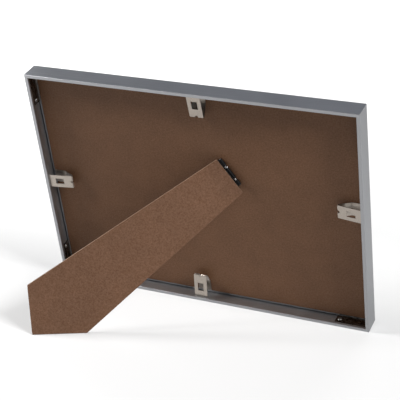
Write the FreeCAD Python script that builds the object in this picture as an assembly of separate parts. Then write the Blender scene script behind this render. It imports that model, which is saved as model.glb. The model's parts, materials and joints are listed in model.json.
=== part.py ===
import FreeCAD, Part
import math
import os
from FreeCAD import Placement, Rotation, Vector

# An aluminium picture frame with a glass front and a hardboard back, held by four folded
# spring clips, standing on its rear lower edge and on an open strut.
#
# Everything is first built upright: X to the right as seen from the front, Y from the front
# plane (0) to the rear plane, Z up from the lower outer face. Then it is leaned back onto
# the strut and moved so that the origin is the middle of its footprint, on the floor.

# Sheets in the frame
sheet_width = 297.0
sheet_height = 210.0
sheet_clearance = 0.2
glass_thickness = 1.5
paper_thickness = 0.25
board_thickness = 2.0

# Rail section
rail_depth = 18.0
wall_thickness = 1.3
slot_width = 1.1
web_thickness = 0.9
web_height = 5.2
lip_width = 7.0
lip_thickness = 1.1
flange_thickness = 1.5
hook_thickness = 0.6
hook_drop = 1.0
rail_edge_radius = 0.35

# Corner brackets and their screws
bracket_thickness = 1.0
bracket_leg = 32.5
bracket_play = 0.1
bracket_bend = 0.2
bracket_end_radius = 1.5
screw_from_corner = 29.0
screw_from_rear = 7.8
screw_radius = 1.75
screw_length = 1.5
screw_clearance = 0.03
screw_chamfer = 0.3
driver_slot_width = 0.5
driver_slot_depth = 0.6

# Spring clips
clip_width = 12.5
clip_thickness = 0.6
clip_reach = 25.1
clip_rise_share = 0.68
clip_nose_height = 1.8
clip_heel = 14.5
clip_bend = 0.4
clip_toe_gap = 0.3
clip_hook_gap = 0.05
clip_end_gap = 0.3
clip_corner_radius = 1.0
clip_window_length = 7.9
clip_window_width = 5.6
clip_window_from_nose = 8.6
clip_notch_radius = 1.3
clip_notch_inset = 0.9
clip_top_shift = -7.9
clip_bottom_shift = 8.8
clip_left_shift = 10.0
clip_right_shift = -2.0

# Strut and its hinge
strut_thickness = 2.5
strut_head_width = 36.6
strut_flare = 4.4
strut_head_radius = 1.2
strut_head_gap = 0.6
strut_open_angle = 36.1
strut_tip_offset = 3.6
tip_side_gap = 2.1
tip_base_gap = 3.5
hinge_across = 31.3
hinge_above = 28.5
pin_radius = 0.9
pin_clearance = 0.05
pin_end = 0.3
leaf_thickness = 0.6
leaf_length = 17.0
leaf_lift = 0.15
leaf_notch_gap = 0.3
leaf_corner_radius = 3.0
barrel_shift = 2.0
first_knuckle = 7.3
middle_knuckle = 11.4
last_knuckle = 5.1
knuckle_gap = 2.1
rivet_radius = 1.5
rivet_clearance = 0.05
rivet_head_radius = 2.7
rivet_head_height = 0.8
rivet_foot_radius = 2.5
rivet_foot_height = 0.6
rivet_from_pin = 9.5
rivet_spacing = 15.0
prong_width = 2.2
prong_tip_width = 0.5
prong_height = 1.5
prong_from_pin = 5.5
prong_pitch = 7.5
prong_spacing = 21.0

# How far a cutting tool runs past what it cuts
overrun = 1.0

# Sizes that follow
slot_inner = wall_thickness + slot_width
web_inner = slot_inner + web_thickness
flange_width = slot_inner + hook_thickness
frame_width = sheet_width + 2 * (sheet_clearance + web_inner)
frame_height = sheet_height + 2 * (sheet_clearance + web_inner)
glass_back = lip_thickness + glass_thickness
paper_back = glass_back + paper_thickness
board_back = paper_back + board_thickness
flange_underside = rail_depth - flange_thickness
hook_underside = flange_underside - hook_drop
knuckle_radius = pin_radius + pin_clearance + leaf_thickness
leaf_seat = knuckle_radius + leaf_lift
barrel_length = first_knuckle + middle_knuckle + last_knuckle + 2 * knuckle_gap
barrel_start = -barrel_length / 2 - barrel_shift
middle_start = barrel_start + first_knuckle + knuckle_gap
last_start = middle_start + middle_knuckle + knuckle_gap

# Each side of the frame: the turn that brings the lower side there, the middle of its outer
# face, and the rail's length
sides = {
    "bottom": (0, Vector(0, 0, 0), frame_width),
    "right": (-90, Vector(frame_width / 2, 0, frame_height / 2), frame_height),
    "top": (180, Vector(0, 0, frame_height), frame_width),
    "left": (90, Vector(-frame_width / 2, 0, frame_height / 2), frame_height),
}


def rounded_wire(points, radii):
    """A closed outline of straight runs, with a tangent arc of the given radius at each corner."""
    corners = []
    for place, point in enumerate(points):
        radius = radii[place]
        if radius == 0:
            corners.append((point, None, point))
            continue
        to_before = (points[place - 1] - point).normalize()
        to_after = (points[(place + 1) % len(points)] - point).normalize()
        half_angle = to_before.getAngle(to_after) / 2
        trim = radius / math.tan(half_angle)
        centre = point + (to_before + to_after).normalize() * (radius / math.sin(half_angle))
        middle = centre + (point - centre).normalize() * radius
        corners.append((point + to_before * trim, middle, point + to_after * trim))
    edges = []
    for place, (start, middle, end) in enumerate(corners):
        if middle is not None:
            edges.append(Part.Arc(start, middle, end).toShape())
        following = corners[(place + 1) % len(corners)][0]
        edges.append(Part.LineSegment(end, following).toShape())
    return Part.Wire(edges)


def prism(points, radii, direction):
    """A rounded outline carried along a direction."""
    return Part.Face(rounded_wire(points, radii)).extrude(direction)


def bent_strip(points, bend, thickness, normal, direction):
    """A folded strip. The points run along its outer surface, the metal lies to the left of
    them about the normal, and every fold has the same inside radius."""
    runs = [(after - before).normalize() for before, after in zip(points, points[1:])]
    lefts = [normal.cross(run) for run in runs]
    inner = [points[0] + lefts[0] * thickness]
    outer_radii = [0]
    inner_radii = [0]
    for place in range(1, len(points) - 1):
        before, after = lefts[place - 1], lefts[place]
        inner.append(points[place] + (before + after) * (thickness / (1 + before.dot(after))))
        turns_in = runs[place - 1].cross(runs[place]).dot(normal) > 0
        outer_radii.append(bend + thickness if turns_in else bend)
        inner_radii.append(bend if turns_in else bend + thickness)
    inner.append(points[-1] + lefts[-1] * thickness)
    outline = points + inner[::-1]
    radii = outer_radii + [0] + inner_radii[::-1] + [0]
    return prism(outline, radii, direction)


def on_side(shape, side, along=0):
    """A copy of what was modelled on the lower side, brought to another side of the frame."""
    turn, middle, _ = sides[side]
    moved = shape.copy()
    moved.translate(Vector(along, 0, 0))
    moved.Placement = Placement(middle, Rotation(Vector(0, 1, 0), turn)).multiply(moved.Placement)
    return moved


# Rails
def rail(length):
    """One extruded rail lying on the lower side, with both ends mitred."""
    section = [
        (0, 0, rail_edge_radius),
        (0, lip_width, rail_edge_radius),
        (lip_thickness, lip_width, 0),
        (lip_thickness, web_inner, 0),
        (web_height, web_inner, 0),
        (web_height, slot_inner, 0),
        (lip_thickness, slot_inner, 0),
        (lip_thickness, wall_thickness, 0),
        (flange_underside, wall_thickness, 0),
        (flange_underside, slot_inner, 0),
        (hook_underside, slot_inner, 0),
        (hook_underside, flange_width, 0),
        (rail_depth, flange_width, rail_edge_radius),
        (rail_depth, 0, rail_edge_radius),
    ]
    points = [Vector(-length / 2, depth, inward) for depth, inward, _ in section]
    bar = prism(points, [radius for _, _, radius in section], Vector(length, 0, 0))
    mitred = [
        Vector(-length / 2, -overrun, 0),
        Vector(length / 2, -overrun, 0),
        Vector(length / 2 - lip_width - overrun, -overrun, lip_width + overrun),
        Vector(-length / 2 + lip_width + overrun, -overrun, lip_width + overrun),
    ]
    wedge = prism(mitred, [0, 0, 0, 0], Vector(0, rail_depth + 2 * overrun, 0))
    return bar.common(wedge)


# Corner brackets, modelled in the lower left corner with the outer corner at the origin
bracket_near = slot_inner - bracket_thickness
bracket_front = lip_thickness
bracket_rear = flange_underside - bracket_play
screw_depth = rail_depth - screw_from_rear
screw_tip = wall_thickness


def screw():
    """A slotted grub screw on the lower rail's wall, pointing down, at the origin's X."""
    body = Part.makeCylinder(screw_radius, screw_length, Vector(0, screw_depth, screw_tip))
    rim = [edge for edge in body.Edges if edge.BoundBox.ZMin > screw_tip + screw_chamfer]
    body = body.makeChamfer(screw_chamfer, rim)
    driver_slot = Part.makeBox(
        2 * screw_radius + 2 * overrun,
        driver_slot_width,
        driver_slot_depth + overrun,
        Vector(
            -screw_radius - overrun,
            screw_depth - driver_slot_width / 2,
            screw_tip + screw_length - driver_slot_depth,
        ),
    )
    return body.cut(driver_slot)


def turned_to_other_leg(shape):
    """The mirror image in the corner's diagonal plane, for the upright leg."""
    return shape.mirror(Vector(0, 0, 0), Vector(1, 0, -1))


def corner_screws():
    flat_leg_screw = screw()
    flat_leg_screw.translate(Vector(screw_from_corner, 0, 0))
    return [flat_leg_screw, turned_to_other_leg(flat_leg_screw)]


def corner_bracket():
    """A bent angle whose two legs lie in the slots of two rails."""
    path = [
        Vector(bracket_leg, bracket_front, bracket_near),
        Vector(bracket_near, bracket_front, bracket_near),
        Vector(bracket_near, bracket_front, bracket_leg),
    ]
    depth = bracket_rear - bracket_front
    angle = bent_strip(path, bracket_bend, bracket_thickness, Vector(0, 1, 0), Vector(0, depth, 0))
    leg_outline = [
        Vector(-overrun, bracket_front, 0),
        Vector(bracket_leg, bracket_front, 0),
        Vector(bracket_leg, bracket_rear, 0),
        Vector(-overrun, bracket_rear, 0),
    ]
    radii = [0, bracket_end_radius, bracket_end_radius, 0]
    flat_leg = prism(leg_outline, radii, Vector(0, 0, bracket_leg + overrun))
    angle = angle.common(flat_leg).common(turned_to_other_leg(flat_leg))
    hole = Part.makeCylinder(
        screw_radius + screw_clearance,
        bracket_thickness + 2 * overrun,
        Vector(screw_from_corner, screw_depth, bracket_near - overrun),
    )
    return angle.cut(hole).cut(turned_to_other_leg(hole))


# The turn and the place that bring a piece from the lower left corner to each corner
corners = {
    "bottom_left": (0, Vector(-frame_width / 2, 0, 0)),
    "bottom_right": (-90, Vector(frame_width / 2, 0, 0)),
    "top_right": (180, Vector(frame_width / 2, 0, frame_height)),
    "top_left": (90, Vector(-frame_width / 2, 0, frame_height)),
}


def in_corner(shape, corner):
    turn, place = corners[corner]
    moved = shape.copy()
    moved.Placement = Placement(place, Rotation(Vector(0, 1, 0), turn)).multiply(moved.Placement)
    return moved


# Sheets
def sheet(front, back):
    return Part.makeBox(
        sheet_width,
        back - front,
        sheet_height,
        Vector(-sheet_width / 2, front, (frame_height - sheet_height) / 2),
    )


# Spring clips
def spring_clip():
    """A folded clip on the lower side: its toe lies under the rail's hook and its lower
    leaf on the back board. A finger notch is cut into the fold and a window behind it."""
    clip_toe = wall_thickness + clip_toe_gap
    nose_top = board_back + clip_rise_share * (hook_underside - board_back)
    window_end = clip_reach - clip_window_from_nose
    path = [
        Vector(-clip_width / 2, hook_underside - clip_hook_gap, clip_toe),
        Vector(-clip_width / 2, nose_top, clip_reach),
        Vector(-clip_width / 2, nose_top - clip_nose_height, clip_reach),
        Vector(-clip_width / 2, board_back, clip_heel),
        Vector(-clip_width / 2, board_back, web_inner + clip_end_gap),
    ]
    strip = bent_strip(path, clip_bend, clip_thickness, Vector(1, 0, 0), Vector(clip_width, 0, 0))
    plan = [
        Vector(-clip_width / 2, board_back - overrun, clip_toe),
        Vector(clip_width / 2, board_back - overrun, clip_toe),
        Vector(clip_width / 2, board_back - overrun, clip_reach),
        Vector(-clip_width / 2, board_back - overrun, clip_reach),
    ]
    through = Vector(0, rail_depth, 0)
    strip = strip.common(prism(plan, [clip_corner_radius] * len(plan), through))
    window = Part.makeBox(
        clip_window_width,
        rail_depth,
        clip_window_length,
        Vector(-clip_window_width / 2, nose_top, window_end - clip_window_length),
    )
    notch_place = Vector(0, board_back - overrun, clip_reach - clip_notch_inset)
    notch = Part.makeCylinder(clip_notch_radius, rail_depth, notch_place, Vector(0, 1, 0))
    return strip.cut(window).cut(notch)


# The hinge is modelled about its pin: X runs from the pin towards the closed strut's tip,
# Y along the pin, and Z out of the board.
pin_depth = board_back + leaf_seat
hinge_point = Vector(-hinge_across, pin_depth, frame_height / 2 + hinge_above)
closed_tip = Vector(
    frame_width / 2 - flange_width - tip_side_gap,
    pin_depth,
    flange_width + tip_base_gap,
)
tip_distance = (closed_tip - hinge_point).Length
to_tip = (closed_tip - hinge_point).normalize()
tip_along = math.sqrt(tip_distance**2 - strut_tip_offset**2)
outward = Vector(0, 1, 0)
closed_direction = (to_tip * tip_along - outward.cross(to_tip) * strut_tip_offset) * (1 / tip_distance)
along_pin = outward.cross(closed_direction)
board_side = Placement(hinge_point, Rotation(closed_direction, along_pin, outward, "XYZ"))
opened = Placement(Vector(0, 0, 0), Rotation(Vector(0, 1, 0), -strut_open_angle))
strut_side = board_side.multiply(opened)


def placed(shape, placement):
    moved = shape.copy()
    moved.Placement = placement.multiply(moved.Placement)
    return moved


def knuckle(start, length):
    """One curl of the barrel, without its bore."""
    return Part.makeCylinder(knuckle_radius, length, Vector(0, start, 0), Vector(0, 1, 0))


def leaf(low, knuckles):
    """A flat leaf whose metal starts at the height low, with the given knuckles curled on."""
    edge = knuckle_radius + leaf_notch_gap
    outline = [
        Vector(edge, barrel_start, low),
        Vector(leaf_length, barrel_start, low),
        Vector(leaf_length, barrel_start + barrel_length, low),
        Vector(edge, barrel_start + barrel_length, low),
    ]
    radii = [0, leaf_corner_radius, leaf_corner_radius, 0]
    plate = prism(outline, radii, Vector(0, 0, leaf_thickness))
    for start, length in knuckles:
        tongue = Part.makeBox(edge, length, leaf_thickness, Vector(0, start, low))
        plate = plate.fuse([tongue, knuckle(start, length)])
    bore = Part.makeCylinder(
        pin_radius + pin_clearance,
        barrel_length + 2 * overrun,
        Vector(0, barrel_start - overrun, 0),
        Vector(0, 1, 0),
    )
    return plate.cut(bore).removeSplitter()


barrel_middle = barrel_start + barrel_length / 2
rivet_places = [
    Vector(rivet_from_pin, barrel_middle + share * rivet_spacing, 0) for share in (-1 / 2, 1 / 2)
]
prong_places = [
    Vector(prong_from_pin + step * prong_pitch, barrel_middle + share * prong_spacing, knuckle_radius)
    for step in (0, 1)
    for share in (-1 / 2, 1 / 2)
]


def rivet_stems(extra):
    """The two rivet shanks from the head down to the board's front face, with their clinched
    feet, larger all round by the extra."""
    board_front = -leaf_seat - board_thickness
    stems = []
    for place in rivet_places:
        shank_length = board_thickness + leaf_thickness
        shank = Part.makeCylinder(rivet_radius + extra, shank_length, place + Vector(0, 0, board_front))
        foot = Part.makeCylinder(
            rivet_foot_radius + extra,
            rivet_foot_height + extra,
            place + Vector(0, 0, board_front),
        )
        stems.append(shank.fuse(foot).removeSplitter())
    return stems


def hinge_rivets():
    """Two rivets with low domed heads on the board leaf."""
    head_seat = leaf_thickness - leaf_seat
    rise = rivet_head_height
    dome_radius = (rivet_head_radius**2 + rise**2) / (2 * rise)
    rivets = []
    for place, stem in zip(rivet_places, rivet_stems(0)):
        ball = Part.makeSphere(dome_radius, place + Vector(0, 0, head_seat + rise - dome_radius))
        cap = Part.makeCylinder(rivet_head_radius + overrun, rise, place + Vector(0, 0, head_seat))
        rivets.append(stem.fuse(ball.common(cap)).removeSplitter())
    return rivets


def prongs():
    """Tapered prongs that stand up from the strut leaf and bite into the strut."""
    shapes = []
    for place in prong_places:
        outline = [
            place + Vector(0, -prong_width / 2, 0),
            place + Vector(0, prong_width / 2, 0),
            place + Vector(0, prong_tip_width / 2, prong_height),
            place + Vector(0, -prong_tip_width / 2, prong_height),
        ]
        shapes.append(prism(outline, [0] * len(outline), Vector(leaf_thickness, 0, 0)))
    return shapes


def strut_point(along, across, height):
    """A point of the open strut, in the upright frame's own directions."""
    return strut_side.multVec(Vector(along, across, height))


# The frame leans back until it touches the floor at its rear lower edge, a small round,
# and at the strut's tip. The same strut stands the frame on its right-hand rail.
tip_inner = strut_point(tip_along, strut_tip_offset, knuckle_radius)


def lean_on(height_of_tip):
    """The lean at which the round rear edge and the tip lie on one plane."""
    rise = height_of_tip - rail_edge_radius
    run = tip_inner.y - rail_depth + rail_edge_radius
    return math.atan2(rise, run) + math.asin(rail_edge_radius / math.hypot(rise, run))


lean = lean_on(tip_inner.z)
side_lean = lean_on(frame_width / 2 - tip_inner.x)
floor_up = Vector(0, -math.sin(lean), math.cos(lean))
side_floor_up = Vector(-math.cos(side_lean), -math.sin(side_lean), 0)
open_outward = strut_side.Rotation.multVec(Vector(0, 0, 1))


def foot_corner(up, side):
    """Where the foot edge that lies flat on a floor meets the strut's flared side."""
    edge = strut_side.Rotation.inverted().multVec(open_outward.cross(up))
    slope = side * math.tan(math.radians(strut_flare))
    head = knuckle_radius + strut_head_gap
    gap = side * strut_head_width / 2 + slope * (tip_along - head) - strut_tip_offset
    step = gap / (edge.y - slope * edge.x)
    return Vector(tip_along + step * edge.x, strut_tip_offset + step * edge.y, knuckle_radius)


def strut_leg():
    """A flared hardboard strut whose two foot edges lie flat on the floor, one for each way
    of standing the frame."""
    head = knuckle_radius + strut_head_gap
    outline = [
        Vector(head, -strut_head_width / 2, knuckle_radius),
        Vector(head, strut_head_width / 2, knuckle_radius),
        foot_corner(floor_up, 1),
        Vector(tip_along, strut_tip_offset, knuckle_radius),
        foot_corner(side_floor_up, -1),
    ]
    radii = [strut_head_radius, strut_head_radius, 0, 0, 0]
    return prism(outline, radii, Vector(0, 0, strut_thickness))


def strut_leaf():
    knuckles = [(barrel_start, first_knuckle), (last_start, last_knuckle)]
    plate = leaf(knuckle_radius - leaf_thickness, knuckles)
    return plate.fuse(prongs()).removeSplitter()


def board_leaf():
    plate = leaf(-leaf_seat, [(middle_start, middle_knuckle)])
    return plate.cut(rivet_stems(rivet_clearance))


def hinge_pin():
    length = barrel_length + 2 * pin_end
    return Part.makeCylinder(pin_radius, length, Vector(0, barrel_start - pin_end, 0), Vector(0, 1, 0))


# Assembly
nodes = {}
for side, (_, _, length) in sides.items():
    nodes["rail_" + side] = on_side(rail(length), side)

screws = []
for corner in corners:
    nodes["corner_bracket_" + corner] = in_corner(corner_bracket(), corner)
    screws += [in_corner(shape, corner) for shape in corner_screws()]
nodes["bracket_screws"] = Part.makeCompound(screws)

nodes["front_glass"] = sheet(lip_thickness, glass_back)
nodes["picture_sheet"] = sheet(glass_back, paper_back)
rivet_holes = [placed(shape, board_side) for shape in rivet_stems(rivet_clearance)]
nodes["back_board"] = sheet(paper_back, board_back).cut(rivet_holes)

nodes["hinge_board_leaf"] = placed(board_leaf(), board_side)
nodes["hinge_pin"] = placed(hinge_pin(), board_side)
nodes["hinge_rivets"] = placed(Part.makeCompound(hinge_rivets()), board_side)
nodes["hinge_strut_leaf"] = placed(strut_leaf(), strut_side)
nodes["strut_leg"] = placed(strut_leg().cut(prongs()), strut_side)

nodes["spring_clip_top"] = on_side(spring_clip(), "top", -clip_top_shift)
nodes["spring_clip_bottom"] = on_side(spring_clip(), "bottom", clip_bottom_shift)
nodes["spring_clip_left"] = on_side(spring_clip(), "left", -clip_left_shift)
nodes["spring_clip_right"] = on_side(spring_clip(), "right", clip_right_shift)

# Standing: lean everything back, then put the middle of the footprint at the origin
leaned = Placement(Vector(0, 0, 0), Rotation(Vector(1, 0, 0), -math.degrees(lean)))
nodes = {name: placed(shape, leaned) for name, shape in nodes.items()}
extent = Part.makeCompound(list(nodes.values())).optimalBoundingBox(True, False)
footprint = Vector((extent.XMin + extent.XMax) / 2, (extent.YMin + extent.YMax) / 2, extent.ZMin)
standing = Placement(footprint * -1, Rotation()).multiply(leaned)

os.makedirs("parts", exist_ok=True)
for name, shape in nodes.items():
    shape.translate(footprint * -1)
    shape.exportStep("parts/" + name + ".step")

print("outer size", frame_width, frame_height, rail_depth)
print("lean", round(math.degrees(lean), 2), "side lean", round(math.degrees(side_lean), 2))
print("hinge point", standing.multVec(hinge_point))
print("hinge axis", standing.Rotation.multVec(along_pin))
print("inward from the top", standing.Rotation.multVec(Vector(0, 0, -1)))
print("rear outward", standing.Rotation.multVec(outward))
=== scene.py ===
import bpy
import json
import math
import numpy as np
from mathutils import Matrix, Vector

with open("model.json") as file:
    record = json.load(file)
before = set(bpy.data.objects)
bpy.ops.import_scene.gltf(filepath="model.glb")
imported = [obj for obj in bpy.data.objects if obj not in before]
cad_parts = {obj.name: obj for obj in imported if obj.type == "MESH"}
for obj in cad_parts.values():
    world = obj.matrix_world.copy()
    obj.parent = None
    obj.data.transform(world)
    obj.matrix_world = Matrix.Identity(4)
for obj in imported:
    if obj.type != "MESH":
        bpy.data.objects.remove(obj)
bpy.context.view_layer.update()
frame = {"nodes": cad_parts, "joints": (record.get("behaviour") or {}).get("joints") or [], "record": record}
solids = frame["nodes"]
print("frame loaded:", len(solids), "solids")


# How the frame stands: its flat back looks along the wall face's axis, so the lean is the
# angle of that axis below level.
wallAxis = Vector(frame["record"]["mounts"][0]["axis"])
lean = math.atan2(-wallAxis.z, wallAxis.y)
leaned = (-lean, 0, 0)  # turns a pattern so that its own Z runs up the frame


# The corners of a solid's mesh as an n by 3 array.
def corners(name):
    mesh = solids[name].data
    places = np.zeros(len(mesh.vertices) * 3, np.float32)
    mesh.vertices.foreach_get("co", places)
    return places.reshape(-1, 3).astype(float)


# The direction that the largest flat side of a solid looks along: each triangle's cross
# product is grouped by its rounded direction, and the group with the most area wins.
def flatDirection(name):
    mesh = solids[name].data
    mesh.calc_loop_triangles()
    index = np.zeros(len(mesh.loop_triangles) * 3, np.int32)
    mesh.loop_triangles.foreach_get("vertices", index)
    a, b, c = corners(name)[index].reshape(-1, 3, 3).transpose(1, 0, 2)
    across = np.cross(b - a, c - a)
    area = np.linalg.norm(across, axis=1)
    facing = across[area > 0] / area[area > 0, None]
    which = np.unique(facing.round(2), axis=0, return_inverse=True)[1].ravel()
    total = np.bincount(which, area[area > 0])
    return Vector(facing[which == total.argmax()].mean(axis=0)).normalized()


# Making materials

# An empty material and its tree of nodes.
def newMaterial(name):
    material = bpy.data.materials.new(name)
    material.use_nodes = True
    material.node_tree.nodes.clear()
    return material, material.node_tree


# Adds a node. Each input is a plain value or another node's socket.
def addNode(tree, kind, inputs=None, **settings):
    node = tree.nodes.new(kind)
    for key, value in settings.items():
        setattr(node, key, value)
    for key, value in (inputs or {}).items():
        socket = node.inputs[key]
        if isinstance(value, bpy.types.NodeSocket):
            tree.links.new(value, socket)
        else:
            socket.default_value = value
    return node


# The place on the solid, turned about the middle of the pattern and divided by the size in
# metres that one unit of the pattern has along each of its own axes. One number is a size
# for all three.
def patternPlace(tree, size, turn=(0, 0, 0), middle=(0, 0, 0)):
    where = addNode(tree, "ShaderNodeTexCoord").outputs["Object"]
    sizes = (size,) * 3 if isinstance(size, float) else size
    inputs = {"Vector": where, "Location": middle, "Rotation": turn, "Scale": sizes}
    return addNode(tree, "ShaderNodeMapping", inputs, vector_type="TEXTURE").outputs["Vector"]


# Soft noise between 0 and 1 at that place. Detail adds finer noise, rough is how strongly,
# and twist bends it.
def cloud(tree, size, turn=(0, 0, 0), middle=(0, 0, 0), detail=2.0, rough=0.5, twist=0.0):
    inputs = {
        "Vector": patternPlace(tree, size, turn, middle),
        "Scale": 1.0, "Detail": detail, "Roughness": rough, "Distortion": twist,
    }
    return addNode(tree, "ShaderNodeTexNoise", inputs).outputs["Fac"]


# The sizes of a cloud of lines that run along X or up the frame.
def lineSize(lengthwise, length, width):
    return (length, width, width) if lengthwise == "X" else (width, width, length)


# Stretches value from the range low..high to start..end, and holds it there outside.
def span(tree, value, low, high, start=0.0, end=1.0):
    inputs = {"Value": value, "From Min": low, "From Max": high, "To Min": start, "To Max": end}
    return addNode(tree, "ShaderNodeMapRange", inputs).outputs["Result"]


# Stretches a cloud, whose values lie mostly between 0.3 and 0.7, to start..end.
def swing(tree, noise, start, end):
    return span(tree, noise, 0.3, 0.7, start, end)


# One step of sums with two values.
def sums(tree, operation, first, second=0.0):
    node = addNode(tree, "ShaderNodeMath", {0: first, 1: second}, operation=operation)
    return node.outputs["Value"]


# All terms added up.
def plus(tree, *terms):
    total = terms[0]
    for term in terms[1:]:
        total = sums(tree, "ADD", total, term)
    return total


# The product of two values.
def times(tree, first, second):
    return sums(tree, "MULTIPLY", first, second)


# The product of two directions: 1 where they agree and 0 where they are square.
def agreement(tree, first, second):
    node = addNode(tree, "ShaderNodeVectorMath", {0: first, 1: second}, operation="DOT_PRODUCT")
    return node.outputs["Value"]


# The first colour, with this share of the second.
def blendColour(tree, share, first, second, way="MIX"):
    colours = {0: share, 6: first, 7: second}  # the Mix node's factor and its two colour sockets
    node = addNode(tree, "ShaderNodeMix", colours, data_type="RGBA", blend_type=way, clamp_factor=True)
    return node.outputs[2]


# Brightens or darkens a colour: the grey of the factor multiplies it.
def shadeColour(tree, colour, factor):
    return blendColour(tree, 1.0, colour, factor, "MULTIPLY")


# How near a sharp edge is: one less the product of the true direction of the surface with
# the direction that a rounding of this radius would give it, from 0.02 to 0.3.
def edgeShare(tree, radius):
    soft = addNode(tree, "ShaderNodeBevel", {"Radius": radius}, samples=6).outputs["Normal"]
    true = addNode(tree, "ShaderNodeNewGeometry").outputs["Normal"]
    return span(tree, sums(tree, "SUBTRACT", 1.0, agreement(tree, soft, true)), 0.02, 0.3)


# A colour with its sharp edges drawn towards a brighter one: rubbed bare metal on the rails, brackets and
# screws, and a painted highlight on the clips' sheared edges.
def brightenEdges(tree, colour, bright, share, radius):
    return blendColour(tree, times(tree, edgeShare(tree, radius), share), colour, bright)


# How far the surface turns away from an axis: nothing while the two agree by 0.9 or more,
# and all of it at the low value.
def turnedAway(tree, axis, low):
    own = addNode(tree, "ShaderNodeTexCoord").outputs["Normal"]
    return span(tree, sums(tree, "ABSOLUTE", agreement(tree, own, axis)), 0.9, low)


# Makes the light fall as on a surface with this height, a full step being depth metres.
def relief(tree, height, depth, strength):
    inputs = {"Height": height, "Distance": depth, "Strength": strength}
    return addNode(tree, "ShaderNodeBump", inputs).outputs["Normal"]


# Sends a shader to the material's output.
def finishWith(tree, shader):
    addNode(tree, "ShaderNodeOutputMaterial", {"Surface": shader})


# Ends a material in one surface with these inputs.
def surface(tree, **inputs):
    named = {key.replace("_", " "): value for key, value in inputs.items()}
    finishWith(tree, addNode(tree, "ShaderNodeBsdfPrincipled", named).outputs["BSDF"])


# Gives solids their material.
def dress(material, *names):
    for name in names:
        mesh = solids[name].data
        mesh.materials.clear()
        mesh.materials.append(material)


# Joins the loose triangles of a solid where their corners meet.
def joinTriangles(piece):
    weld = piece.modifiers.new("weld", "WELD")
    weld.merge_threshold = 0.000002


# Rounds the sharp edges of a solid a little, as deburred sheet and sawn ends are: its
# triangles are joined to whole faces, edges sharper than 32 degrees get a small rounding,
# and the large faces keep their flat shading.
def softenEdges(name, width, segments=2):
    piece = solids[name]
    joinTriangles(piece)
    flat = piece.modifiers.new("whole faces", "DECIMATE")
    flat.decimate_type = "DISSOLVE"
    flat.angle_limit = math.radians(0.4)
    edge = piece.modifiers.new("soft edges", "BEVEL")
    edge.width = width
    edge.segments = segments
    edge.limit_method = "ANGLE"
    edge.angle_limit = math.radians(32.0)
    edge.miter_outer = "MITER_ARC"
    level = piece.modifiers.new("flat faces", "WEIGHTED_NORMAL")
    level.keep_sharp = False
    level.weight = 60


# Rails. A size is in metres, a tone is what a cloud's two ends add to the brightness.
railFinish = {
    "colour": (0.425, 0.43, 0.445, 1.0),
    "lineLength": 0.22,
    "lineWidth": 0.00032,  # of the fine lines that the die leaves
    "lineTone": (0.955, 1.03),
    "wideLines": 5,  # a second, fainter set is this many times larger
    "wideTone": (-0.012, 0.012),
    "smudge": 0.035,
    "smudgeTone": (-0.02, 0.02),
    "smudgeRough": (-0.015, 0.02),
    "roughness": (0.45, 0.36),
    "grain": 0.00011,
    "grainHeight": 0.35,
    "reliefDepth": 0.000012,
    "brightEdgeColour": (0.72, 0.72, 0.73, 1.0),
    "brightEdgeShare": 0.35,
    "brightEdgeReach": 0.0003,
    "edgeRound": 0.00010,
}


# Satin anodised aluminium. Die lines run along the rail, so the pattern's long unit lies on
# X for the rails across and on the leaned upright for the other two.
def railMaterial(name, lengthwise):
    f = railFinish
    material, tree = newMaterial(name)
    size = lineSize(lengthwise, f["lineLength"], f["lineWidth"])
    lines = cloud(tree, size, leaned, detail=3.0, rough=0.6)
    wide = cloud(tree, [part * f["wideLines"] for part in size], leaned, detail=1.0)
    grain = cloud(tree, f["grain"], detail=1.0)
    smudge = cloud(tree, f["smudge"], detail=3.0, rough=0.55, twist=0.6)
    tone = plus(
        tree,
        swing(tree, lines, *f["lineTone"]),
        swing(tree, smudge, *f["smudgeTone"]),
        swing(tree, wide, *f["wideTone"]),
    )
    colour = shadeColour(tree, f["colour"], tone)
    surface(
        tree,
        Base_Color=brightenEdges(tree, colour, f["brightEdgeColour"], f["brightEdgeShare"], f["brightEdgeReach"]),
        Metallic=1.0,
        Roughness=plus(
            tree,
            swing(tree, lines, *f["roughness"]),
            span(tree, smudge, 0.35, 0.7, *f["smudgeRough"]),
        ),
        Normal=relief(tree, plus(tree, lines, times(tree, grain, f["grainHeight"])), f["reliefDepth"], 0.5),
    )
    return material


dress(railMaterial("rail aluminium across", "X"), "rail_top", "rail_bottom")
dress(railMaterial("rail aluminium upright", "Z"), "rail_left", "rail_right")
for railName in ("rail_top", "rail_bottom", "rail_left", "rail_right"):
    softenEdges(railName, railFinish["edgeRound"])
print("rails dressed")


# Hardboard: the back board and the strut
boardFinish = {
    "darkPulp": (0.118, 0.0545, 0.0250, 1.0),
    "palePulp": (0.166, 0.0865, 0.0485, 1.0),
    "contrast": 1.0,
    "mottle": 0.0014,
    "blotch": 0.02,
    "blotchTone": (0.93, 1.06),
    "pulp": 0.00028,
    "pulpTone": (-0.07, 0.07),
    "fibreSize": (0.0026, 0.00016, 0.00016),
    "fibreAngles": (17.0, 77.0, 139.0),
    "fibreColour": (0.25, 0.155, 0.10, 1.0),
    "fibreShare": 0.16,
    "fleck": 0.0031,
    "fleckColour": (0.052, 0.028, 0.018, 1.0),
    "fleckShare": 0.6,
    "edgeColour": (0.175, 0.108, 0.07, 1.0),
    "edgeLayer": (0.006, 0.006, 0.00022),
    "edgeTone": (0.72, 1.2),
    "edgeRough": 0.25,
    "roughness": (0.60, 0.50),
    "gloss": 0.22,
    "reliefDepth": 0.00005,
}
# The strut's pulp colours are a darker copy of the board's, about 0.85 of them: painted shade that holds the
# strut, which faces the lamps more than the board, down to its brightness beside the board.
strutFinish = dict(
    boardFinish,
    darkPulp=(0.099, 0.0460, 0.0225, 1.0),
    palePulp=(0.143, 0.0755, 0.0455, 1.0),
    contrast=1.5,
    edgeRound=0.00022,
)


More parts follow.
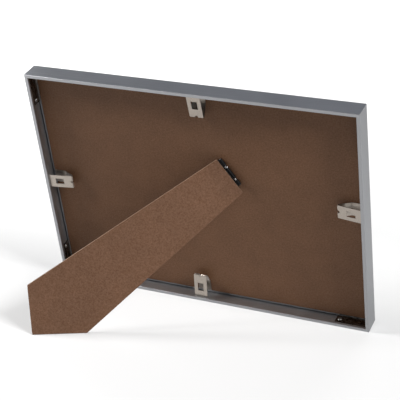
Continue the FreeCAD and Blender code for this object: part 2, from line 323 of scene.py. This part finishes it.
# Three sets of fine streaks at different angles in the sheet's plane: the greatest of the
# three clouds of lines, each shown only where it is strong.
def fibreStreaks(tree, f, turn, facing):
    strongest = 0.0
    for step, angle in enumerate(f["fibreAngles"]):
        spun = (Matrix.Rotation(math.radians(angle), 3, facing) @ turn.to_matrix()).to_euler()
        middle = (0.003 * step, 0.002, 0.001 * step)  # so that the sets don't share a centre
        lines = cloud(tree, f["fibreSize"], spun, middle, detail=2.0, rough=0.55)
        strongest = sums(tree, "MAXIMUM", strongest, span(tree, lines, 0.60, 0.72))
    return strongest


# Pressed wood fibre: streaks over a mottle of darker and lighter pulp, with a few dark
# flecks. Where the surface turns away from the sheet's own direction the sawn edge shows
# paler, in thin layers.
def hardboardMaterial(name, finish, facing):
    f = finish
    material, tree = newMaterial(name)
    turn = Vector((0, 0, 1)).rotation_difference(facing).to_euler()
    mottle = cloud(tree, f["mottle"], turn, detail=4.0, rough=0.62, twist=0.4)
    blotch = cloud(tree, f["blotch"], turn, detail=3.0, twist=0.5)
    pulp = cloud(tree, f["pulp"], turn, rough=0.6)
    fibres = fibreStreaks(tree, f, turn, facing)
    cells = {"Vector": patternPlace(tree, f["fleck"], turn), "Scale": 1.0}
    speck = addNode(tree, "ShaderNodeTexVoronoi", cells).outputs["Distance"]
    fleck = times(tree, span(tree, speck, 0.17, 0.06), span(tree, mottle, 0.45, 0.6))
    reach = 0.2 / f["contrast"]
    paleShare = span(tree, mottle, 0.5 - reach, 0.5 + reach)
    colour = blendColour(tree, paleShare, f["darkPulp"], f["palePulp"])
    tone = plus(tree, swing(tree, blotch, *f["blotchTone"]), swing(tree, pulp, *f["pulpTone"]))
    colour = shadeColour(tree, colour, tone)
    colour = blendColour(tree, times(tree, fibres, f["fibreShare"]), colour, f["fibreColour"])
    colour = blendColour(tree, times(tree, fleck, f["fleckShare"]), colour, f["fleckColour"])
    sawn = turnedAway(tree, facing, 0.6)
    layer = cloud(tree, f["edgeLayer"], turn, detail=3.0, rough=0.6)
    edge = shadeColour(tree, f["edgeColour"], swing(tree, layer, *f["edgeTone"]))
    height = plus(tree, mottle, times(tree, pulp, 0.5), times(tree, fibres, 0.4))
    surface(
        tree,
        Base_Color=blendColour(tree, sawn, colour, edge),
        Roughness=plus(tree, swing(tree, mottle, *f["roughness"]), times(tree, sawn, f["edgeRough"])),
        Specular_IOR_Level=f["gloss"],
        Normal=relief(tree, height, f["reliefDepth"], 0.55),
    )
    return material


dress(hardboardMaterial("hardboard back", boardFinish, wallAxis), "back_board")
dress(hardboardMaterial("hardboard strut", strutFinish, flatDirection("strut_leg")), "strut_leg")
softenEdges("strut_leg", strutFinish["edgeRound"], 3)
print("hardboard dressed")


# Spring clips
clipFinish = {
    "colour": (0.51, 0.455, 0.40, 1.0),
    "lineLength": 0.012,
    "lineWidth": 0.00016,  # of the lines that rolling leaves
    "lineTone": (0.90, 1.06),
    "stain": 0.0045,
    "stainColour": (0.30, 0.25, 0.20, 1.0),
    "stainShare": 0.16,
    "stainRough": (-0.01, 0.05),
    "roughness": (0.35, 0.26),
    "speck": 0.0006,
    "speckHeight": 0.4,
    "reliefDepth": 0.000004,
    # painted highlight on the sheared edges: its colour, share and reach
    "brightEdgeColour": (0.8, 0.77, 0.72, 1.0),
    "brightEdgeShare": 0.4,
    "brightEdgeReach": 0.00025,
    "edgeRound": 0.00010,
}


# Nickel plated spring strip: rolling lines run the way the strip was drawn, with a little warm tarnish in
# patches. The sheared edges are painted brighter, a painted highlight where the thin sides catch the light.
def clipMaterial(name, lengthwise):
    f = clipFinish
    material, tree = newMaterial(name)
    lines = cloud(tree, lineSize(lengthwise, f["lineLength"], f["lineWidth"]), leaned, detail=3.0, rough=0.6)
    stain = cloud(tree, f["stain"], detail=4.0, rough=0.6, twist=1.2)
    speck = cloud(tree, f["speck"])
    colour = shadeColour(tree, f["colour"], swing(tree, lines, *f["lineTone"]))
    tarnish = times(tree, span(tree, stain, 0.50, 0.75), f["stainShare"])
    colour = blendColour(tree, tarnish, colour, f["stainColour"])
    surface(
        tree,
        # painted highlight: the sheared edges are drawn towards a pale colour
        Base_Color=brightenEdges(tree, colour, f["brightEdgeColour"], f["brightEdgeShare"], f["brightEdgeReach"]),
        Metallic=1.0,
        Roughness=plus(
            tree,
            swing(tree, lines, *f["roughness"]),
            span(tree, stain, 0.4, 0.75, *f["stainRough"]),
        ),
        Normal=relief(tree, plus(tree, lines, times(tree, speck, f["speckHeight"])), f["reliefDepth"], 0.4),
    )
    return material


dress(clipMaterial("clip nickel upright", "Z"), "spring_clip_top", "spring_clip_bottom")
dress(clipMaterial("clip nickel across", "X"), "spring_clip_left", "spring_clip_right")
for clipName in ("top", "bottom", "left", "right"):
    softenEdges("spring_clip_" + clipName, clipFinish["edgeRound"])
print("clips dressed")


# Corner brackets and their screws
bracketFinish = {
    # dark brown: partly painted shade and a painted reflection of the brown board
    "colour": (0.16, 0.145, 0.13, 1.0),
    "darkRunColour": (0.085, 0.066, 0.05, 1.0),
    "darkRunSize": (0.009, 0.003, 0.009),
    "roughness": (0.36, 0.20),  # of the plain steel and of the darker runs
    "grain": 0.0004,
    "grainTone": (0.86, 1.12),
    "grainRough": (-0.03, 0.03),
    "reliefDepth": 0.00001,
    "brightEdgeColour": (0.4, 0.38, 0.35, 1.0),
    "brightEdgeShare": 0.3,
    "brightEdgeReach": 0.00025,
    "edgeRound": 0.00012,
}
screwFinish = {
    "blueZinc": (0.36, 0.37, 0.39, 1.0),
    "yellowZinc": (0.40, 0.375, 0.33, 1.0),
    "patch": 0.0011,
    "grain": 0.00013,
    "roughness": (0.28, 0.42),
    "reliefDepth": 0.000008,
    "brightEdgeColour": (0.50, 0.50, 0.51, 1.0),
    "brightEdgeReach": 0.0002,
}


# Dark brown sheet steel, partly painted shade of the frame's corners and a painted reflection of the brown
# board, with runs and patches that are darker, browner and shinier than the steel between them.
def bracketMaterial():
    f = bracketFinish
    material, tree = newMaterial("bracket dark steel with painted shade")
    runs = cloud(tree, f["darkRunSize"], leaned, detail=4.0, rough=0.6, twist=1.5)
    grain = cloud(tree, f["grain"], detail=3.0, rough=0.6)
    darkRunShare = span(tree, runs, 0.42, 0.58)
    # painted shade and painted reflection: the steel and its runs are coloured dark and brown
    colour = blendColour(tree, darkRunShare, f["colour"], f["darkRunColour"])
    colour = shadeColour(tree, colour, swing(tree, grain, *f["grainTone"]))
    surface(
        tree,
        Base_Color=brightenEdges(tree, colour, f["brightEdgeColour"], f["brightEdgeShare"], f["brightEdgeReach"]),
        Metallic=1.0,
        Roughness=plus(
            tree,
            span(tree, darkRunShare, 0.0, 1.0, *f["roughness"]),
            swing(tree, grain, *f["grainRough"]),
        ),
        Normal=relief(tree, grain, f["reliefDepth"], 0.4),
    )
    return material


# Bright zinc on the screws, with a faint blue and yellow passivation in patches.
def zincMaterial():
    f = screwFinish
    material, tree = newMaterial("screw zinc")
    patch = cloud(tree, f["patch"], detail=3.0, rough=0.6, twist=0.8)
    grain = cloud(tree, f["grain"])
    colour = blendColour(tree, span(tree, patch, 0.4, 0.6), f["blueZinc"], f["yellowZinc"])
    surface(
        tree,
        Base_Color=brightenEdges(tree, colour, f["brightEdgeColour"], 1.0, f["brightEdgeReach"]),
        Metallic=1.0,
        Roughness=swing(tree, grain, *f["roughness"]),
        Normal=relief(tree, grain, f["reliefDepth"], 0.5),
    )
    return material


bracketNames = [name for name in solids if name.startswith("corner_bracket")]
dress(bracketMaterial(), *bracketNames)
dress(zincMaterial(), "bracket_screws")
for bracketName in bracketNames:
    softenEdges(bracketName, bracketFinish["edgeRound"])
print("brackets dressed:", len(bracketNames))


# Strut hinge
hingeFinish = {
    "lacquer": (0.0055, 0.0053, 0.0056, 1.0),
    "bareSteel": (0.36, 0.35, 0.34, 1.0),
    "wornShare": 0.7,
    "wornReach": 0.00018,
    "peel": 0.0005,
    "scuff": 0.0009,
    "roughness": (0.37, 0.50),
    "gloss": 0.10,
    "reliefDepth": 0.00002,
    "edgeRound": 0.00007,
}
pinFinish = {
    "colour": (0.50, 0.50, 0.51, 1.0),
    "lineSize": (0.01, 0.00009, 0.00009),
    "lineTone": (0.88, 1.06),
    "roughness": (0.26, 0.14),
    "reliefDepth": 0.000006,
}
hinge = next(joint for joint in frame["joints"] if joint["name"] == "strut_hinge")
pinAxis = Vector(hinge["axis"]).normalized()


# Black lacquer over steel, with a slight orange peel, worn through in dots along the edges.
def lacquerMaterial():
    f = hingeFinish
    material, tree = newMaterial("hinge black lacquer")
    peel = cloud(tree, f["peel"])
    scuff = cloud(tree, f["scuff"], detail=4.0, rough=0.65, twist=0.5)
    worn = times(tree, edgeShare(tree, f["wornReach"]), span(tree, scuff, 0.50, 0.62))
    worn = times(tree, worn, f["wornShare"])
    surface(
        tree,
        Base_Color=blendColour(tree, worn, f["lacquer"], f["bareSteel"]),
        Metallic=worn,
        Roughness=swing(tree, scuff, *f["roughness"]),
        Specular_IOR_Level=f["gloss"],
        Normal=relief(tree, peel, f["reliefDepth"], 0.5),
    )
    return material


# Bright drawn wire: the drawing lines run along the pin's own axis.
def pinMaterial():
    f = pinFinish
    material, tree = newMaterial("pin bright wire")
    turn = Vector((1, 0, 0)).rotation_difference(pinAxis).to_euler()
    lines = cloud(tree, f["lineSize"], turn, detail=3.0, rough=0.6)
    surface(
        tree,
        Base_Color=shadeColour(tree, f["colour"], swing(tree, lines, *f["lineTone"])),
        Metallic=1.0,
        Roughness=swing(tree, lines, *f["roughness"]),
        Normal=relief(tree, lines, f["reliefDepth"], 0.5),
    )
    return material


dress(lacquerMaterial(), "hinge_board_leaf", "hinge_strut_leaf", "hinge_rivets")
dress(pinMaterial(), "hinge_pin")
for leafName in ("hinge_board_leaf", "hinge_strut_leaf"):
    softenEdges(leafName, hingeFinish["edgeRound"])
print("hinge dressed")


# Glass and paper
glassFinish = {
    "tint": (0.985, 0.993, 0.989, 1.0),
    "rimColour": (0.10, 0.28, 0.20, 1.0),
    "bending": 1.5,  # the glass's index of refraction
    "wipe": (0.05, 0.05, 0.012),
    "wipeTurn": 0.5,
    "wipeRough": (0.01, 0.03),
    "edgeRound": 0.00015,
}
paperFinish = {
    "colour": (0.87, 0.87, 0.85, 1.0),
    "fibreSize": (0.0007, 0.0007, 0.000175),
    "fibreTurn": 0.4,
    "fibreTone": (0.975, 1.0),
    "cloudy": 0.012,
    "cloudyTone": (-0.012, 0.0),
    "reliefDepth": 0.00002,
    "airGap": 0.00002,
}


# Clear float glass: a clear body that lets the lamps through, with a trace of wiping marks in
# its mirror. The mirror's share follows the Fresnel law where a ray enters and is nothing
# where it leaves. The ground rim is a deeper green.
def glassMaterial():
    f = glassFinish
    material, tree = newMaterial("clear float glass")
    wipe = cloud(tree, f["wipe"], (-lean, 0, f["wipeTurn"]), detail=4.0, rough=0.6, twist=0.8)
    tint = blendColour(tree, turnedAway(tree, wallAxis, 0.5), f["tint"], f["rimColour"])
    clear = addNode(tree, "ShaderNodeBsdfTransparent", {"Color": tint}).outputs["BSDF"]
    mirror = addNode(tree, "ShaderNodeBsdfGlossy", {
        "Color": (1, 1, 1, 1), "Roughness": span(tree, wipe, 0.45, 0.8, *f["wipeRough"]),
    }).outputs["BSDF"]
    leaving = addNode(tree, "ShaderNodeNewGeometry").outputs["Backfacing"]
    fresnel = addNode(tree, "ShaderNodeFresnel", {"IOR": f["bending"]}).outputs["Fac"]
    share = times(tree, fresnel, sums(tree, "SUBTRACT", 1.0, leaving))
    finishWith(tree, addNode(tree, "ShaderNodeMixShader", {0: share, 1: clear, 2: mirror}).outputs["Shader"])
    return material


# Plain uncoated paper: short fibres and a soft cloudiness in the sheet.
def paperMaterial():
    f = paperFinish
    material, tree = newMaterial("uncoated paper")
    fibres = cloud(tree, f["fibreSize"], (-lean, f["fibreTurn"], 0), detail=3.0, rough=0.6, twist=0.5)
    cloudy = cloud(tree, f["cloudy"])
    tone = plus(tree, swing(tree, fibres, *f["fibreTone"]), swing(tree, cloudy, *f["cloudyTone"]))
    surface(
        tree,
        Base_Color=shadeColour(tree, f["colour"], tone),
        Roughness=0.85,
        Specular_IOR_Level=0.25,
        Normal=relief(tree, fibres, f["reliefDepth"], 0.5),
    )
    return material


dress(glassMaterial(), "front_glass")
dress(paperMaterial(), "picture_sheet")
softenEdges("front_glass", glassFinish["edgeRound"])
# a trace of air between the sheet and its neighbours, so that no two faces share one plane
joinTriangles(solids["picture_sheet"])
sheetGap = solids["picture_sheet"].modifiers.new("air gap", "DISPLACE")
sheetGap.strength = -paperFinish["airGap"]
sheetGap.mid_level = 0.0
print("glass and paper dressed")


# Floor, room, lamps and camera
floorSetup = {
    "half": 6.0,
    "colour": (0.47, 0.47, 0.47, 1.0),
    "nearLight": 0.25,  # the floor's own light, as far out as nearAt and from farAt on
    "farLight": 1.0,
    "nearAt": 0.3,
    "farAt": 1.6,
}
roomSetup = {
    "mirroredColour": (0.90, 0.95, 1.08, 1.0),
    "greyest": -0.75,  # the Y of a direction towards the picture side, where the grey is full
    "greyLevel": 0.235,
    "frontWay": (0.0, -0.970, 0.243),  # before the picture and a little above it
    "frontFrom": 0.86,  # how near a direction comes to that way where the extra light begins
    "frontFull": 0.98,
    "frontLevel": 0.615,
}
lampAim = Vector((0, 0, 0.1))
lampSetup = {
    "front": {"way": (0.0, -0.990, 0.140), "distance": 2.2, "size": (0.9, 0.4), "strength": 0.65},
    "right": {"way": (-0.770, 0.280, 0.574), "distance": 3.4, "size": (1.2, 1.2), "strength": 1.43},
    "left": {"way": (0.770, 0.280, 0.574), "distance": 1.4, "size": (0.5, 0.5), "strength": 1.28},
    "low left": {"way": (0.800, -0.560, 0.215), "distance": 1.7, "size": (0.6, 0.6), "strength": 0.36},
}
cameraSetup = {
    "place": (-0.426104, 0.887573, 0.471563),
    "right": (-0.907979, -0.419014, -0.001095),
    "up": (0.141067, -0.308142, 0.940823),
    "lens": 111.44,
    "sensor": 36.0,
    "nearest": 0.01,
    "farthest": 50.0,
}


# One for a ray of any of these kinds and nothing for the others.
def anyRay(tree, *kinds):
    path = addNode(tree, "ShaderNodeLightPath")
    share = path.outputs[kinds[0]]
    for kind in kinds[1:]:
        share = sums(tree, "MAXIMUM", share, path.outputs[kind])
    return share


# Puts new data into the scene as an object.
def placeObject(name, data):
    placed = bpy.data.objects.new(name, data)
    bpy.context.scene.collection.objects.link(placed)
    return placed


# A plain pale floor. The lamps light it, and its own light, which only the camera and the
# glass show, lifts it to white where nothing shades it. That light grows with the distance
# from the object, where the lamps no longer reach.
def makeFloor():
    f = floorSetup
    h = f["half"]
    mesh = bpy.data.meshes.new("floor")
    mesh.from_pydata([(-h, -h, 0), (h, -h, 0), (h, h, 0), (-h, h, 0)], [], [(0, 1, 2, 3)])
    floor = placeObject("floor", mesh)
    material, tree = newMaterial("pale floor")
    lit = addNode(tree, "ShaderNodeBsdfDiffuse", {"Color": f["colour"]}).outputs["BSDF"]
    shown = anyRay(tree, "Is Camera Ray", "Is Transmission Ray")
    where = addNode(tree, "ShaderNodeTexCoord").outputs["Object"]
    away = addNode(tree, "ShaderNodeVectorMath", {0: where}, operation="LENGTH").outputs["Value"]
    level = span(tree, away, f["nearAt"], f["farAt"], f["nearLight"], f["farLight"])
    own = addNode(tree, "ShaderNodeEmission", {
        "Color": (1, 1, 1, 1), "Strength": times(tree, shown, level),
    }).outputs["Emission"]
    finishWith(tree, addNode(tree, "ShaderNodeAddShader", {0: lit, 1: own}).outputs["Shader"])
    mesh.materials.append(material)


# The room: white for the camera and through glass, dark for matt surfaces, and in mirrors a
# cool grey that falls to nothing behind the strut, with an extra patch before the picture.
def makeRoom():
    f = roomSetup
    world = bpy.data.worlds.new("room")
    world.use_nodes = True
    tree = world.node_tree
    tree.nodes.clear()
    way = addNode(tree, "ShaderNodeTexCoord").outputs["Generated"]
    depth = addNode(tree, "ShaderNodeSeparateXYZ", {"Vector": way}).outputs["Y"]
    grey = span(tree, depth, f["greyest"], 1.0, f["greyLevel"], 0.0)
    near = agreement(tree, way, f["frontWay"])
    patch = span(tree, near, f["frontFrom"], f["frontFull"], 0.0, f["frontLevel"])
    level = times(tree, plus(tree, grey, patch), anyRay(tree, "Is Glossy Ray"))
    shown = anyRay(tree, "Is Camera Ray", "Is Transmission Ray")
    dim = addNode(tree, "ShaderNodeBackground", {"Color": f["mirroredColour"], "Strength": level})
    white = addNode(tree, "ShaderNodeBackground", {"Color": (1, 1, 1, 1), "Strength": shown})
    parts = {0: dim.outputs["Background"], 1: white.outputs["Background"]}
    both = addNode(tree, "ShaderNodeAddShader", parts).outputs["Shader"]
    addNode(tree, "ShaderNodeOutputWorld", {"Surface": both})
    bpy.context.scene.world = world


# A soft box. Its power is the strength times the squares of pi and of its distance, so white
# paper square to it shows just that strength, however near or large the box is.
def makeLamp(name, way, distance, size, strength):
    data = bpy.data.lights.new(name, "AREA")
    data.shape = "RECTANGLE"
    data.size, data.size_y = size
    data.energy = strength * math.pi ** 2 * distance ** 2
    lamp = placeObject(name, data)
    away = Vector(way).normalized()
    lamp.rotation_mode = "QUATERNION"
    lamp.rotation_quaternion = away.to_track_quat("Z", "Y")
    lamp.location = lampAim + away * distance
    return lamp


# The camera of the photograph: its third axis is the cross product of its right and its up.
def makeCamera():
    f = cameraSetup
    data = bpy.data.cameras.new("camera")
    data.lens = f["lens"]
    data.sensor_width = f["sensor"]
    data.clip_start, data.clip_end = f["nearest"], f["farthest"]
    camera = placeObject("camera", data)
    right, up = Vector(f["right"]), Vector(f["up"])
    turn = Matrix((right, up, right.cross(up))).transposed()
    camera.matrix_world = Matrix.Translation(f["place"]) @ turn.to_4x4()
    bpy.context.scene.camera = camera


makeFloor()
makeRoom()
lamps = {lampName: makeLamp(lampName, **setup) for lampName, setup in lampSetup.items()}
lamps["front"].visible_glossy = False  # else the pane would show it as a white patch
makeCamera()
bpy.context.scene.view_settings.view_transform = "Standard"
print("studio ready")
